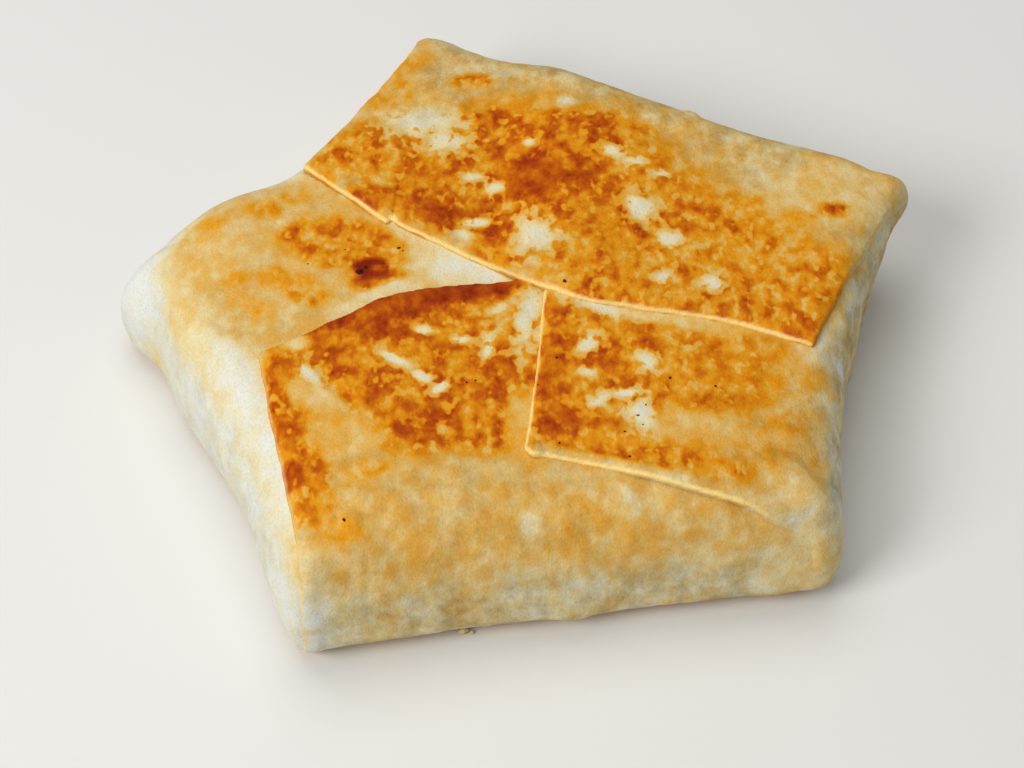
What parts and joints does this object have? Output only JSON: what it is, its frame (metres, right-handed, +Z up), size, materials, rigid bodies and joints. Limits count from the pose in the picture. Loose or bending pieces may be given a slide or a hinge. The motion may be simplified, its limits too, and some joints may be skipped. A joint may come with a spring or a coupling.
{
  "type": "folded tortilla wrap",
  "caption": "Flat packet with pointed corners, folded from a large flour tortilla round a hidden filling, its folds overlapping on top, toasted brown in a pan.",
  "frame": {"origin": "middle of the underside, under the middle of the packet's box", "axes": "+Z up from the flat base to the pressed top, +X to the right corners, +Y to the back corner"},
  "size_m": [0.181, 0.1672, 0.0369],
  "materials": {
    "toasted_tortilla": "matt flour tortilla, cream to orange-brown where it was toasted"
  },
  "bodies": {
    "root": {"folded_tortilla": "toasted_tortilla"}
  },
  "joints": []
}
